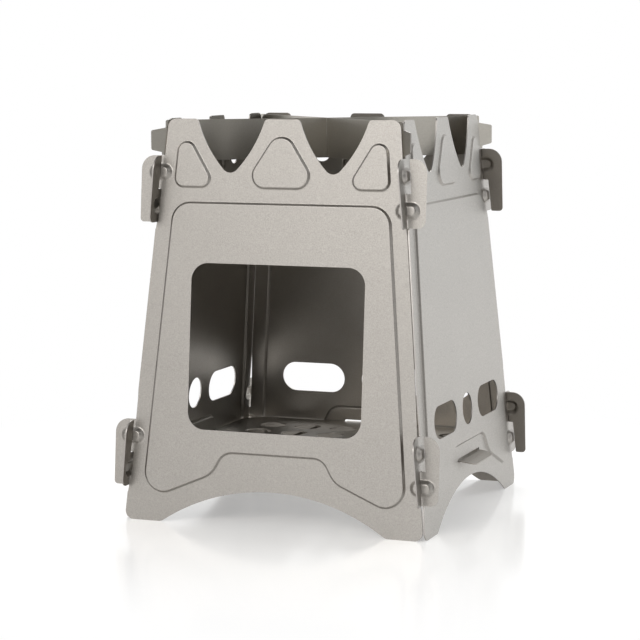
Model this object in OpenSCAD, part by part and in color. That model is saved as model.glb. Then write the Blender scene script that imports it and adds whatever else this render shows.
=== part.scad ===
// Flat-pack wood stove: four pressed panels hooked into a tapered box, a fire grate, two crossed pot supports.
// Origin at the middle of the footprint on the ground, +Z up, the fuel window faces -Y. Millimetres.
// A panel is drawn flat: u runs across it, v runs up its slope, w points out of the stove.

/* [Body] */
// Width of a panel across its two feet
foot_w = 126.3; // [110:0.1:160]
// Width of the assembled stove across the tips of its crown
crown_w = 99; // [80:1:108]
// Height of the stove
body_h = 160; // [150:1:200]
// Thickness of the sheet
sheet_t = 0.5; // [0.3:0.1:0.6]
// Gap between a panel's edge and the corner line at the ears and pot supports
corner_gap = 1; // [0.9:0.1:1.6]
// Length over which two edges close up above the lower ears
seam_run = 12; // [6:0.5:20]
// Radius of the feet and the outer crown corners
corner_r = 3.5; // [1:0.5:5]

/* [Arch between the feet] */
// Width of the arch on the ground
arch_w = 95; // [70:1:100]
// Rise of the arch
arch_rise = 14.7; // [8:0.1:18]
// Radius where the arch runs into a foot
arch_blend_r = 5; // [2:0.5:8]

/* [Crown] */
// Distance of a notch from the panel's centreline
notch_u = 21.6; // [20:0.1:24]
// Depth of a notch
notch_depth = 21.1; // [15:0.1:24]
// Width of a notch at the crown's top
notch_w = 28.8; // [22:0.1:30]
// Radius of the notch's bottom
notch_r = 4; // [2:0.5:5]
// Radius of the notch's long flanks
flank_r = 50; // [30:1:60]
// Angle of the flanks from upright, at the top
flank_top_deg = 19; // [12:1:24]
// Radius of the spikes' corners on a notch
spike_r = 1.8; // [1:0.1:3]

/* [Fuel window] */
// Width of the window
window_w = 73; // [50:1:90]
// Height of the window
window_h = 66; // [40:1:75]
// Height of the window's sill up the slope
window_sill = 37.8; // [35:0.1:45]
// Corner radius of the window
window_r = 7; // [3:0.5:12]

/* [Air vents] */
// Diameter of the round vent and height of the long ones
vent_d = 13; // [8:0.1:14]
// Length of a long vent
vent_l = 29.4; // [18:0.1:30]
// Land between two vents
vent_gap = 8.1; // [5:0.1:10]
// Height of the vents' centres up the slope
vent_v = 42.2; // [40:0.1:60]

/* [Pressed forms] */
// Height of the pressed forms above the sheet
press_h = 1; // [0.6:0.1:1.2]
// Width of their sloping walls
press_run = 1.2; // [0.8:0.1:1.6]
// Margin from the corner line to the large pressed field
field_margin = 6.5; // [6:0.1:9]
// Depth of the field's top line below the crown
field_top_depth = 32.5; // [30:0.1:40]
// Radius of the field's top corners
field_top_r = 8.5; // [4:0.5:12]
// Radius of the field's bottom corners
field_foot_r = 8.5; // [4:0.5:9]
// Height of the field's bottom line over the slit
field_notch_v = 28.6; // [28:0.1:33]
// Half width of the field's bottom line over the slit
field_notch_u = 20.5; // [17:0.1:24]
// Angle of the field's foot line from level
field_foot_deg = 23; // [15:1:26]
// Place of the bend between notch and foot line, across and up
field_bend = [25.4, 19.7];
// Depth of the crown triangles' bottom line below the crown
crown_tri_depth = 27.6; // [26:0.1:29]
// Depth of the middle triangle's apex below the crown
mid_tri_top = 6.5; // [5:0.1:9]
// Depth of the outer triangles' apex below the crown
side_tri_top = 8.6; // [7:0.1:12]
// Margin from the corner line to an outer triangle
side_tri_margin = 6; // [5:0.1:7]

/* [Hook ears] */
// Height of an ear
ear_h = 26.5; // [22:0.5:30]
// Reach of the lower ears past the corner line
ear_low_reach = 7.2; // [6:0.1:10]
// Reach of the upper ears past the corner line
ear_high_reach = 7.9; // [6:0.1:10]
// Height of the lower ears' middle up the slope
ear_low_v = 27.1; // [26:0.1:34]
// Depth of the upper ears' middle below the crown
ear_high_depth = 27.9; // [27.7:0.1:33]
// Radius of an ear's top corner
ear_top_r = 5.5; // [3:0.5:5.5]
// Radius of an ear's bottom corner beside its neck
ear_heel_r = 3; // [1:0.5:4]
// Radius of an ear's bottom corner under its hook
ear_toe_r = 1.5; // [0.5:0.5:3]
// Height of the lock dimple in a neck
dimple_h = 1.6; // [1:0.1:1.8]
// Height of the dimple's oval up the slope
dimple_d = 7.2; // [5:0.1:8]
// Length of the dimple's oval across the corner
dimple_l = 10.2; // [8:0.1:11]

/* [Fire grate] */
// Diameter of the grate's holes
grate_hole_d = 11.6; // [6:0.1:14]
// Spacing of the grate's holes
grate_pitch = 16.6; // [14.5:0.1:18]
// Number of holes along a side
grate_holes = 6; // [4:1:6]
// Height of the slit's lower edge up the slope
slit_v = 22.3; // [20:0.1:24]
// Height of the slit
slit_h = 1.5; // [1.2:0.1:2]
// Length of the slit
slit_l = 29.5; // [29:0.5:31]
// Width of a tongue at the wall
tongue_w = 28; // [16:0.5:28.5]
// Length of a tongue outside the panel
tongue_out = 6; // [3:0.5:8]
// Angle by which a tongue is bent down
tongue_deg = 15; // [0:1:20]
// Length of the grate's corner cuts
grate_corner = 8; // [5:0.5:12]

/* [Pot supports] */
// Height of a pot support
cross_h = 16.3; // [14:0.1:20]
// Drop of a pot support's top edge below the crown
cross_drop = 0.6; // [0:0.1:2]
// Height of an end tab at its root
tab_h = 9.7; // [7:0.1:10]
// Reach of an end tab past the corner line, along the diagonal
tab_reach = 5.6; // [4:0.1:8]
// Taper of an end tab, each of its top and bottom edges
tab_taper = 1; // [0.5:0.1:2]
// Height of an end tab's root above the ears it hangs on
tab_rise = 1.1; // [0.5:0.1:2]

/* [Hidden] */

// Clearances
fit = 0.1;
lap_fit = 0.15;
grate_fit = 0.4;
dimple_fit = 0.2;
support_fit = 1;
gap_pass = 0.4;
cut = 1;

// Length over which an edge leaves its seam beside the end of an ear
seam_step = 3;

// Small radii
relief_r = 0.4;
hook_tip_r = 0.6;
tab_r = 0.8;
tab_root_r = 0.2;
tongue_near_r = 6;
tongue_far_r = 1;
tip_r = 2;
mid_tri_top_r = 6.5;
mid_tri_foot_r = 5.7;
side_tri_top_r = 4.4;
side_tri_foot_r = 4.2;
bend_r = 11;
field_notch_r = 6;
crosslap_dot_r = 0.6;

// Distance of the triangles' nearest foot corners from the middle of a notch
tri_land = 12;

// How far a rounded corner's straight steps may stray from the arc
arc_error = 0.03;
round_fn = 48;

// Sliver trimmed off the feet, so that they stand flat although the panels lean
foot_trim = 0.05;

// The tapered box. base_w and crown_w are measured at the corner lines.
base_w = foot_w + sheet_t + 2 * fit;
lean = atan((base_w - crown_w) / 2 / body_h);
slope_l = (body_h + foot_trim) / cos(lean);
field_top = slope_l - field_top_depth;
ear_high_v = slope_l - ear_high_depth;

// Half width to the corner line, and to the panel's own edge, at a height up the slope
function corner_u(v) = base_w / 2 - v * sin(lean);
function edge_u(v) = corner_u(v) - corner_gap;
// Half width to the corner line at a height above the ground
function corner_at(z) = base_w / 2 - (z + foot_trim) * tan(lean);
function height_of(v) = v * cos(lean) - foot_trim;

// Slot of a hook ear: from the panel's edge to the hook, which clears the next panel's dimple
hook_gap = dimple_h + dimple_fit;
function hook_u(v) = corner_u(v) + hook_gap;

seat_z = height_of(ear_high_v + ear_h / 2) + lap_fit;
cross_top = body_h - cross_drop;
cross_bottom = cross_top - cross_h;
lap_z = (cross_top + cross_bottom) / 2;
grate_z = height_of(slit_v) + fit;

// Number of straight steps in an arc, and the points of an arc about c from angle a to angle b
function arc_steps(r, turn) = max(1, ceil(abs(turn) / 2 / acos(1 - min(arc_error / r, 1))));
function arc(c, r, a, b) =
    let (n = arc_steps(r, b - a))
    [for (i = [0:n]) c + r * [cos(a + (b - a) * i / n), sin(a + (b - a) * i / n)]];

// Outline with rounded corners. Each corner is [place, radius], anticlockwise, and inset moves the whole
// outline inwards while every arc keeps its centre and its number of points.
function rounded(corners, inset = 0) =
    let (n = len(corners))
    [for (i = [0:n - 1])
        let (p = corners[i][0], r = corners[i][1],
             a = p - corners[(i + n - 1) % n][0], b = corners[(i + 1) % n][0] - p,
             from = atan2(a[1], a[0]), turn = wrap(atan2(b[1], b[0]) - from),
             side = turn > 0 ? 1 : -1,
             start = p - a / norm(a) * r * tan(abs(turn) / 2),
             c = start + side * r * [-sin(from), cos(from)],
             steps = r == 0 ? 0 : arc_steps(r, turn))
        for (k = [0:steps])
            let (t = from + (steps == 0 ? 0 : turn * k / steps))
            c + (side * r - inset) * [sin(t), -cos(t)]];
function wrap(a) = a > 180 ? a - 360 : a < -180 ? a + 360 : a;
function mirrored(corners) =
    [for (i = [len(corners) - 1:-1:0]) [[-corners[i][0][0], corners[i][0][1]], corners[i][1]]];

// Solid between rings of equally many points. Each ring is [points, height], from the bottom up. The two
// ends are closed by triangles round the eye, a place from which the whole outline can be seen.
module loft(rings, eye) {
    n = len(rings[0][0]);
    m = len(rings);
    top = (m - 1) * n;
    polyhedron(
        points = concat(
            [for (r = rings) for (p = r[0]) [p[0], p[1], r[1]]],
            [for (r = [rings[0], rings[m - 1]]) [eye[0], eye[1], r[1]]]),
        faces = concat(
            [for (i = [0:n - 1]) [i, (i + 1) % n, m * n]],
            [for (j = [0:m - 2]) for (i = [0:n - 1])
                [j * n + i, (j + 1) * n + i, (j + 1) * n + (i + 1) % n, j * n + (i + 1) % n]],
            [for (i = [0:n - 1]) [top + (i + 1) % n, top + i, m * n + 1]]));
}
function middle(corners) = [for (k = [0, 1]) sum([for (c = corners) c[0][k]]) / len(corners)];
function sum(list, i = 0) = i < len(list) ? list[i] + sum(list, i + 1) : 0;

// A form pressed outwards: its outer skin, and the hollow behind it one sheet thickness away
press_deg = atan(press_h / press_run);
module press_skin(corners, eye) {
    foot = sheet_t / 2;
    loft([[rounded(corners, -foot * press_run / press_h), -foot],
          [rounded(corners, press_run), press_h]], eye);
}
module press_hollow(corners, eye) {
    wall = sheet_t / sin(press_deg);
    foot = sheet_t + cut;
    roof = press_h - sheet_t;
    loft([[rounded(corners, wall - foot * press_run / press_h), -foot],
          [rounded(corners, wall + roof * press_run / press_h), roof]], eye);
}

// Corners of the large pressed field, whose foot line climbs from the feet to the notch over the slit
field_slope = tan(field_foot_deg);
field_foot_v = (field_bend[1] - field_slope * (corner_u(0) - field_margin - field_bend[0]))
    / (1 - field_slope * sin(lean));
field_half = [
    [[field_notch_u, field_notch_v], field_notch_r],
    [field_bend, bend_r],
    [[corner_u(field_foot_v) - field_margin, field_foot_v], field_foot_r],
    [[corner_u(field_top) - field_margin, field_top], field_top_r]
];
field = concat(field_half, mirrored(field_half));

// Corners of a triangle from its three rounded tips, each [centre, radius], anticlockwise
function tri_corner(a, b, c) =
    let (p = tangent_line(a, b), q = tangent_line(b, c)) [cross_point(p, q), b[1]];
function tangent_line(a, b) =
    let (d = b[0] - a[0], l = norm(d), side = atan2(d[1], d[0]) - asin((b[1] - a[1]) / l))
    [a[0] + a[1] * [sin(side), -cos(side)], [cos(side), sin(side)]];
function cross_point(p, q) =
    let (d = q[0] - p[0], k = p[1][0] * q[1][1] - p[1][1] * q[1][0])
    p[0] + p[1] * ((d[0] * q[1][1] - d[1] * q[1][0]) / k);
function triangle(a, b, c) = [tri_corner(c, a, b), tri_corner(a, b, c), tri_corner(b, c, a)];

tri_foot = slope_l - crown_tri_depth;
mid_tri_half = notch_u - tri_land - mid_tri_foot_r / 2;
mid_tri = triangle(
    [[-mid_tri_half, tri_foot + mid_tri_foot_r], mid_tri_foot_r],
    [[mid_tri_half, tri_foot + mid_tri_foot_r], mid_tri_foot_r],
    [[0, slope_l - mid_tri_top - mid_tri_top_r], mid_tri_top_r]);
side_tri_tip_v = slope_l - side_tri_top - side_tri_top_r;
side_tri_foot_v = tri_foot + side_tri_foot_r;
side_tri_inner = notch_u + tri_land;
side_tri = triangle(
    [[side_tri_inner, side_tri_foot_v], side_tri_foot_r],
    [[corner_u(side_tri_foot_v) - side_tri_margin - side_tri_foot_r, side_tri_foot_v], side_tri_foot_r],
    [[corner_u(side_tri_tip_v) - side_tri_margin - side_tri_top_r, side_tri_tip_v], side_tri_top_r]);
// Each raised form with its eye
PRESSINGS = [
    [field, [0, field_top - field_notch_v]],
    for (f = [mid_tri, side_tri, mirrored(side_tri)]) [f, middle(f)]
];

// Arch between the feet, tangent to a rounding on each foot
arch_r = (pow(arch_w / 2, 2) + pow(arch_rise, 2)) / 2 / arch_rise;
arch_c = [0, arch_rise - arch_r];
foot_c = [sqrt(pow(arch_r + arch_blend_r, 2) - pow(arch_blend_r - arch_c[1], 2)), arch_blend_r];
foot_dir = atan2(foot_c[1] - arch_c[1], foot_c[0]);
arch_points = concat(
    arc([-foot_c[0], foot_c[1]], arch_blend_r, -90, -foot_dir),
    between_ends(arc(arch_c, arch_r, 180 - foot_dir, foot_dir)),
    arc(foot_c, arch_blend_r, 180 + foot_dir, 270));

function between_ends(points) = [for (i = [1:len(points) - 2]) points[i]];
function without_last(list) = [for (i = [0:len(list) - 2]) list[i]];

// One notch of the crown about u = 0, from its right side down and up its left side. Its flanks steepen from
// this angle from upright, near the bottom, to flank_top_deg.
bottom_deg = 42;
notch_foot = slope_l - notch_depth + notch_r - notch_r / sin(bottom_deg);
flank_h = (notch_w / 2 - (slope_l - notch_foot) * tan(flank_top_deg)) / (tan(bottom_deg) - tan(flank_top_deg));
notch_right = [[[notch_w / 2, slope_l], spike_r],
               [[flank_h * tan(bottom_deg), notch_foot + flank_h], flank_r]];
notch = concat(notch_right, [[[0, notch_foot], notch_r]], mirrored(notch_right));
function moved(corners, u) = [for (c = corners) [c[0] + [u, 0], c[1]]];

function ear_out(v) = corner_u(v) + (v == ear_low_v ? ear_low_reach : ear_high_reach);

// Ear on the right edge, neck below and hook open above, going up
function right_ear(v) =
    let (low = v - ear_h / 2, high = v + ear_h / 2, mid = v - fit, out = ear_out(v))
    [[[edge_u(low), low], relief_r], [[out, low], ear_heel_r], [[out, high], ear_top_r],
     [[hook_u(high), high], hook_tip_r], [[hook_u(mid), mid], relief_r], [[edge_u(mid), mid], relief_r]];
// Ear on the left edge, neck above and hook open below, going down
function left_ear(v) =
    let (low = v - ear_h / 2, high = v + ear_h / 2, mid = v + fit, out = ear_out(v))
    [[[-edge_u(high), high], relief_r], [[-out, high], ear_top_r], [[-out, low], ear_toe_r],
     [[-hook_u(low), low], hook_tip_r], [[-hook_u(mid), mid], relief_r], [[-edge_u(mid), mid], relief_r]];

// Where nothing passes the corner, a left edge laps over the neighbour's right edge, which butts against its
// back, so that no light shows there. side is 1 on a right edge and -1 on a left one.
function seam_u(v, side) = side * (corner_u(v) - fit) - (side > 0 ? sheet_t : 0);
function foot_seam(side) =
    let (v = ear_low_v - ear_h / 2)
    [[[seam_u(v - seam_step, side), v - seam_step], 0], [[side * edge_u(v), v], 0]];
function wall_seam(side) =
    let (low = ear_low_v + ear_h / 2, high = ear_high_v - ear_h / 2)
    [[[side * edge_u(low), low], 0], [[seam_u(low + seam_run, side), low + seam_run], 0],
     [[seam_u(high - seam_step, side), high - seam_step], 0], [[side * edge_u(high), high], 0]];
function reversed(list) = [for (i = [len(list) - 1:-1:0]) list[i]];

blank_corners = concat(
    [[[seam_u(0, 1), 0], corner_r]],
    without_last(foot_seam(1)), right_ear(ear_low_v), without_last(wall_seam(1)), right_ear(ear_high_v),
    [[[edge_u(slope_l), slope_l], corner_r]],
    moved(notch, notch_u), moved(notch, -notch_u),
    [[[-edge_u(slope_l), slope_l], corner_r]],
    left_ear(ear_high_v), without_last(reversed(wall_seam(-1))), left_ear(ear_low_v), reversed(foot_seam(-1)),
    [[[seam_u(0, -1), 0], corner_r]],
    [for (p = arch_points) [p, 0]]);

// Oval dimple pressed into a neck: a steep wall, a sloping shoulder and a small flat crest
shoulder_h_share = 0.7;
shoulder_share = 0.35;
crest_share = 0.65;
oval_r_share = 0.96;
dimple_oval = let (a = dimple_l / 2, b = dimple_d / 2, r = b * oval_r_share)
    [[[-a, -b], r], [[a, -b], r], [[a, b], r], [[-a, b], r]];
module dimple_skin() {
    half = dimple_d / 2;
    wall = shoulder_share * half / (shoulder_h_share * dimple_h);
    foot = sheet_t / 2;
    loft([[rounded(dimple_oval, -foot * wall), -foot],
          [rounded(dimple_oval, shoulder_share * half), shoulder_h_share * dimple_h],
          [rounded(dimple_oval, crest_share * half), dimple_h]], [0, 0]);
}
module dimple_hollow() {
    half = dimple_d / 2;
    wall = shoulder_share * half / (shoulder_h_share * dimple_h);
    foot = sheet_t + cut;
    loft([[rounded(dimple_oval, sheet_t - foot * wall), -foot],
          [rounded(dimple_oval, shoulder_share * half + sheet_t), shoulder_h_share * dimple_h - sheet_t / 2],
          [rounded(dimple_oval, crest_share * half + sheet_t / 2), dimple_h - sheet_t]], [0, 0]);
}

// Middles of the four necks and the way each corner leans
NECKS = [[1, ear_low_v - ear_h / 4], [1, ear_high_v - ear_h / 4],
         [-1, ear_low_v + ear_h / 4], [-1, ear_high_v + ear_h / 4]];
module at_necks() {
    for (n = NECKS) translate([n[0] * corner_u(n[1]), n[1], 0]) children();
}

// Pressed sheet in its own flat frame, outer face at w = 0
module panel_sheet() {
    difference() {
        union() {
            translate([0, 0, -sheet_t]) linear_extrude(sheet_t) polygon(rounded(blank_corners));
            for (p = PRESSINGS) press_skin(p[0], p[1]);
            at_necks() dimple_skin();
        }
        for (p = PRESSINGS) press_hollow(p[0], p[1]);
        at_necks() dimple_hollow();
    }
}

// Stands a flat panel up in its place: side 0 is the front, 1 right, 2 back, 3 left
module stand(side) {
    difference() {
        rotate(side * 90) translate([0, -base_w / 2, -foot_trim]) rotate([90 - lean, 0, 0]) children();
        translate([-base_w, -base_w, -2 * cut]) cube([2 * base_w, 2 * base_w, 2 * cut]);
    }
}

module through() {
    translate([0, 0, -sheet_t - cut]) linear_extrude(sheet_t + press_h + 2 * cut) children();
}

// Upright rectangle with rounded corners, its bottom edge on v = 0
module round_rect(w, h, r) {
    translate([-w / 2 + r, 0]) square([w - 2 * r, h]);
    translate([-w / 2, r]) square([w, h - 2 * r]);
    for (u = [-w / 2 + r, w / 2 - r], v = [r, h - r]) translate([u, v]) circle(r, $fn = round_fn);
}

module fuel_window() {
    translate([0, window_sill]) round_rect(window_w, window_h, window_r);
}

module long_vent() {
    square([vent_l - vent_d, vent_d], center = true);
    for (s = [-1, 1]) translate([s * (vent_l - vent_d) / 2, 0]) circle(d = vent_d, $fn = round_fn);
}
module vents() {
    translate([0, vent_v]) {
        circle(d = vent_d, $fn = round_fn);
        for (s = [-1, 1]) translate([s * (vent_d / 2 + vent_gap + vent_l / 2), 0]) long_vent();
    }
}
module slit() {
    translate([0, slit_v]) round_rect(slit_l, slit_h, slit_h / 2 - fit);
}

module front_panel() {
    color("#C2BEB7") stand(0) difference() {
        panel_sheet();
        through() fuel_window();
    }
}
module air_panel(side) {
    color("#B9B8B5") stand(side) difference() {
        panel_sheet();
        through() vents();
        through() slit();
    }
}
module right_panel() {
    air_panel(1);
}
module back_panel() {
    air_panel(2);
}
module left_panel() {
    air_panel(3);
}

// Fire grate: a holed square with cut corners, and a tongue through the slit of each panel but the front
grate_half = corner_at(grate_z + sheet_t) - sheet_t / cos(lean) - grate_fit;
wall_half = corner_at(grate_z);
module tongue() {
    tip = wall_half + tongue_out;
    intersection() {
        rotate([90, 0, 0]) translate([0, 0, -tongue_w]) linear_extrude(2 * tongue_w) tongue_side();
        translate([0, 0, -tongue_out]) linear_extrude(2 * tongue_out)
            polygon(rounded([[[grate_half - cut, -tongue_w / 2], 0], [[tip, -tongue_w / 2], tongue_near_r],
                             [[tip, tongue_w / 2], tongue_far_r], [[grate_half - cut, tongue_w / 2], 0]]));
    }
}
// Tongue seen from its side: flat through the slit, then bent down
module tongue_side() {
    root = wall_half + fit;
    along = (tongue_out + cut) * [cos(tongue_deg), -sin(tongue_deg)];
    down = sheet_t * [sin(tongue_deg), cos(tongue_deg)];
    polygon([[grate_half - 2 * cut, 0], [root - sheet_t * tan(tongue_deg / 2), 0], [root, sheet_t] + along - down,
             [root, sheet_t] + along, [root, sheet_t], [grate_half - 2 * cut, sheet_t]]);
}
module grate_plan() {
    a = grate_half;
    b = grate_half - grate_corner;
    difference() {
        polygon([[a, -b], [a, b], [b, a], [-b, a], [-a, b], [-a, -b], [-b, -a], [b, -a]]);
        span = (grate_holes - 1) / 2;
        for (i = [-span:span], j = [-span:span])
            translate([i, j] * grate_pitch) circle(d = grate_hole_d, $fn = round_fn);
    }
}
module fire_grate() {
    color("#8C8B87") translate([0, 0, grate_z]) {
        linear_extrude(sheet_t) grate_plan();
        for (turn = [0, 90, 180]) rotate(turn) tongue();
    }
}

// Pot support, drawn flat with x along its diagonal and y up from the ground. It hangs on the necks of the
// upper ears, and its ends pass out through the corner gaps.
function corner_on_diagonal(z) = corner_at(z) * sqrt(2);
cross_half = corner_on_diagonal(cross_bottom) - sheet_t * sqrt(2) - support_fit;
seat_end = corner_on_diagonal(seat_z) + gap_pass;
cross_end = corner_on_diagonal(cross_top) + gap_pass;
tab_low = seat_z + tab_rise;
tab_top = tab_low + tab_h;
tab_end = corner_on_diagonal(tab_low + tab_h / 2) + tab_reach;
cross_outline_half = [
    [[cross_half, cross_bottom], tip_r],
    [[cross_half, seat_z], tab_root_r],
    [[seat_end, seat_z], tab_root_r],
    [[seat_end, tab_low], tab_root_r],
    [[tab_end, tab_low + tab_taper], tab_r],
    [[tab_end, tab_top - tab_taper], tab_r],
    [[cross_end, tab_top], tab_root_r],
    [[cross_end, cross_top], tab_r]
];
lap_w = sheet_t + 2 * lap_fit;
module cross_plate(lap_up) {
    rotate([90, 0, 0]) translate([0, 0, -sheet_t / 2]) linear_extrude(sheet_t) difference() {
        polygon(rounded(concat(cross_outline_half, mirrored(cross_outline_half))));
        translate([0, lap_up ? lap_z + cross_h / 2 : lap_z - cross_h / 2])
            square([lap_w, cross_h + 2 * lap_fit], center = true);
        translate([0, lap_up ? lap_z - lap_fit : lap_z + lap_fit]) circle(crosslap_dot_r, $fn = round_fn);
    }
}
module pot_cross_lower() {
    color("#8E8C87") rotate(45) cross_plate(true);
}
module pot_cross_upper() {
    color("#96948F") rotate(-45) cross_plate(false);
}

front_panel();
right_panel();
back_panel();
left_panel();
fire_grate();
pot_cross_lower();
pot_cross_upper();
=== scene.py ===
# %% [markdown]
# # A flat-pack wood stove in satin sheet metal
# This lesson dresses a small camping stove. Four pressed panels hook into a tapered box. A plate with round
# holes carries the fire, and two crossed plates at the top carry a pot. Every sheet is half a millimetre
# thick, so the look lives in three places: the blasted faces, the soft pressed forms and the cut edges.

# %% Load the frame
import math
import bpy
import bmesh
import numpy as np
from mathutils import Matrix, Vector
from mathutils.geometry import delaunay_2d_cdt


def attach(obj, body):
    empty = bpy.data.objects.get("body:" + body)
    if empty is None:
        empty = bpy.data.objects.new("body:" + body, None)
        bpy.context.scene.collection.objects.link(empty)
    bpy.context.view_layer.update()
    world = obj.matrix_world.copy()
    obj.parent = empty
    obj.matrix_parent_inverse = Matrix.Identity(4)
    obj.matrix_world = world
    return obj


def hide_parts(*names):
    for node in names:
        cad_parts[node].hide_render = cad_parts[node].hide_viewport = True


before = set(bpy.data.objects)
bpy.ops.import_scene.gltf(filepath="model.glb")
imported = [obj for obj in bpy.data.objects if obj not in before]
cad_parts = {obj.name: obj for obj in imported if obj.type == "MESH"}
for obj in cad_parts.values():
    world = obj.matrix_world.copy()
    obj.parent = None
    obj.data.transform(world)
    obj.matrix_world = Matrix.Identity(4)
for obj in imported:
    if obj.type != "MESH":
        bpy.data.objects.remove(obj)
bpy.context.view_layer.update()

# %% [markdown]
# ## Camera
# The photograph looks slightly down on the stove from the right of its window. A long lens from 0.9 m gives
# the same mild perspective. The camera is placed first, because every later choice is judged through it.

# %% Camera
MM = 0.001
CAMERA_AZIMUTH, CAMERA_DISTANCE, CAMERA_HEIGHT = 20.6, 896.6, 183.6     # degrees, then millimetres
CAMERA_PAN, CAMERA_TILT, CAMERA_ROLL = 0.2, -6.86, -0.1                 # degrees
CAMERA_LENS, CAMERA_FILM = 122.4, 36.0                                  # millimetres
CAMERA_NEAR, CAMERA_FAR = 0.05, 20.0                                    # metres


def place_camera():
    """Camera at its azimuth, distance and height, turned to the stove by the pan, tilt and roll."""
    data = bpy.data.cameras.new("photo_camera")
    data.lens, data.sensor_width = CAMERA_LENS, CAMERA_FILM
    data.clip_start, data.clip_end = CAMERA_NEAR, CAMERA_FAR
    camera = bpy.data.objects.new("photo_camera", data)
    bpy.context.scene.collection.objects.link(camera)
    a = math.radians(CAMERA_AZIMUTH)
    spot = Vector((CAMERA_DISTANCE * math.sin(a), -CAMERA_DISTANCE * math.cos(a), CAMERA_HEIGHT)) * MM
    turn = (Matrix.Rotation(math.radians(CAMERA_AZIMUTH + CAMERA_PAN), 4, "Z")
            @ Matrix.Rotation(math.radians(90 + CAMERA_TILT), 4, "X")
            @ Matrix.Rotation(math.radians(CAMERA_ROLL), 4, "Z"))
    camera.matrix_world = Matrix.Translation(spot) @ turn
    bpy.context.scene.camera = camera
    return camera


camera = place_camera()
print("camera stands at", [round(v, 3) for v in camera.matrix_world.translation])

# %% [markdown]
# ## Colours and nodes
# Colours are read off a screen as sRGB numbers, but a shader works with linear light. One small function
# turns a hex code into linear light, and one more adds a node with its settings and links in a single line.

# %% Helpers for colours and nodes
def linear(hex_code):
    """Linear RGBA of an sRGB colour such as "C2BEB7"."""
    parts = [int(hex_code[i:i + 2], 16) / 255 for i in (0, 2, 4)]
    return [p / 12.92 if p <= 0.04045 else ((p + 0.055) / 1.055) ** 2.4 for p in parts] + [1.0]


def put(tree, kind, links=None, **settings):
    """Adds a node. settings are its properties or input values, links are (input, output socket) pairs."""
    node = tree.nodes.new(kind)
    for name, value in settings.items():
        if name in node.bl_rna.properties:
            setattr(node, name, value)
        else:
            node.inputs[name.replace("_", " ")].default_value = value
    for name, socket in (links or {}).items():
        tree.links.new(socket, node.inputs[name])
    return node


print("C2BEB7 is", [round(v, 3) for v in linear("C2BEB7")])

# %% [markdown]
# ## The metal
# The sheet is titanium, blasted with fine grit. Seen close it is a satin metal with a tiny speckle: each pit
# tilts the surface a little and is a touch darker. Broad, faint clouds come from uneven blasting. The shader
# is therefore a metal whose colour, roughness and bump all follow two noises, one fine and one broad. The
# real grit leaves pits of about 0.1 mm, too fine for this picture, so they are drawn five times as coarse.

# %% Blasted metal
GRAIN, CLOUD = 0.53, 26.0       # millimetres: pits drawn coarse enough to show, and clouds of the blasting
PIT_DEPTH = 0.1                 # millimetres of bump at full strength
ROUGH_SWING = 0.05              # a pit is this much duller than the mean, and a crest this much shinier
NOISE_LOW, NOISE_HIGH = 0.3, 0.7        # nearly all of a noise lies between these two values


def blasted_metal(name, base, speckle, cloud, rough, grain_depth):
    """Satin sheet metal. speckle and cloud are how far the fine and the broad noise move the colour."""
    material = bpy.data.materials.new(name)
    material.use_nodes = True
    tree = material.node_tree
    tree.nodes.clear()
    place = put(tree, "ShaderNodeTexCoord").outputs["Object"]
    fine = put(tree, "ShaderNodeTexNoise", {"Vector": place}, Scale=1000 / GRAIN, Detail=3.0, Roughness=0.7)
    broad = put(tree, "ShaderNodeTexNoise", {"Vector": place}, Scale=1000 / CLOUD, Detail=4.0, Roughness=0.55)
    fleck = put(tree, "ShaderNodeMapRange", {"Value": fine.outputs["Fac"]}, From_Min=NOISE_LOW,
                From_Max=NOISE_HIGH, To_Min=1.0 - speckle, To_Max=1.0 + speckle)
    drift = put(tree, "ShaderNodeMapRange", {"Value": broad.outputs["Fac"]}, From_Min=NOISE_LOW,
                From_Max=NOISE_HIGH, To_Min=1.0 - cloud, To_Max=1.0 + cloud)
    both = put(tree, "ShaderNodeMath", {0: fleck.outputs[0], 1: drift.outputs[0]}, operation="MULTIPLY")
    shade = put(tree, "ShaderNodeVectorMath", {"Scale": both.outputs[0]}, operation="SCALE")
    shade.inputs[0].default_value = linear(base)[:3]
    dull = put(tree, "ShaderNodeMapRange", {"Value": fine.outputs["Fac"]}, From_Min=NOISE_LOW,
               From_Max=NOISE_HIGH, To_Min=rough + ROUGH_SWING, To_Max=rough - ROUGH_SWING)
    pits = put(tree, "ShaderNodeBump", {"Height": fine.outputs["Fac"]}, Strength=grain_depth,
               Distance=PIT_DEPTH * MM)
    surface = put(tree, "ShaderNodeBsdfPrincipled",
                  {"Base Color": shade.outputs[0], "Roughness": dull.outputs[0], "Normal": pits.outputs[0]},
                  Metallic=1.0)
    put(tree, "ShaderNodeOutputMaterial", {"Surface": surface.outputs[0]})
    return material


# Outer face of the panels: pale grey titanium, finely blasted, which gives a dull sheen with a fine grain
outer_face = blasted_metal("titanium_blasted_outer", "A6A29D", speckle=0.12, cloud=0.02, rough=0.42,
                           grain_depth=0.42)
# Inner face, towards the fire: left as rolled, so it is smoother, with broad faint clouds and hardly a grain.
# Its darker base colour is painted shade for the inside of the box
shaded_inner_face = blasted_metal("titanium_rolled_inner_painted_shade", "96918A", speckle=0.05, cloud=0.06, rough=0.38,
                           grain_depth=0.20)
# Pot supports: rolled sheet that was never pressed, with the clearest reflections of all
plate_face = blasted_metal("titanium_rolled_plate", "B4B0A8", speckle=0.05, cloud=0.04, rough=0.34,
                           grain_depth=0.20)
# Grate: rolled sheet as dark as the panels' inner faces. This darker base colour is painted shade for the
# inside of the box
shaded_grate_face = blasted_metal("titanium_rolled_grate_painted_shade", "96918A", speckle=0.05, cloud=0.04, rough=0.40,
                           grain_depth=0.20)
print("faces:", [m.name for m in bpy.data.materials])

# %% [markdown]
# ## The cut edges
# Every outline and hole was punched. A punch leaves no pits, only short drag marks across the sheet, about
# a fifth of a millimetre apart. The rims get a material of their own, because they catch the light first.

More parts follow.
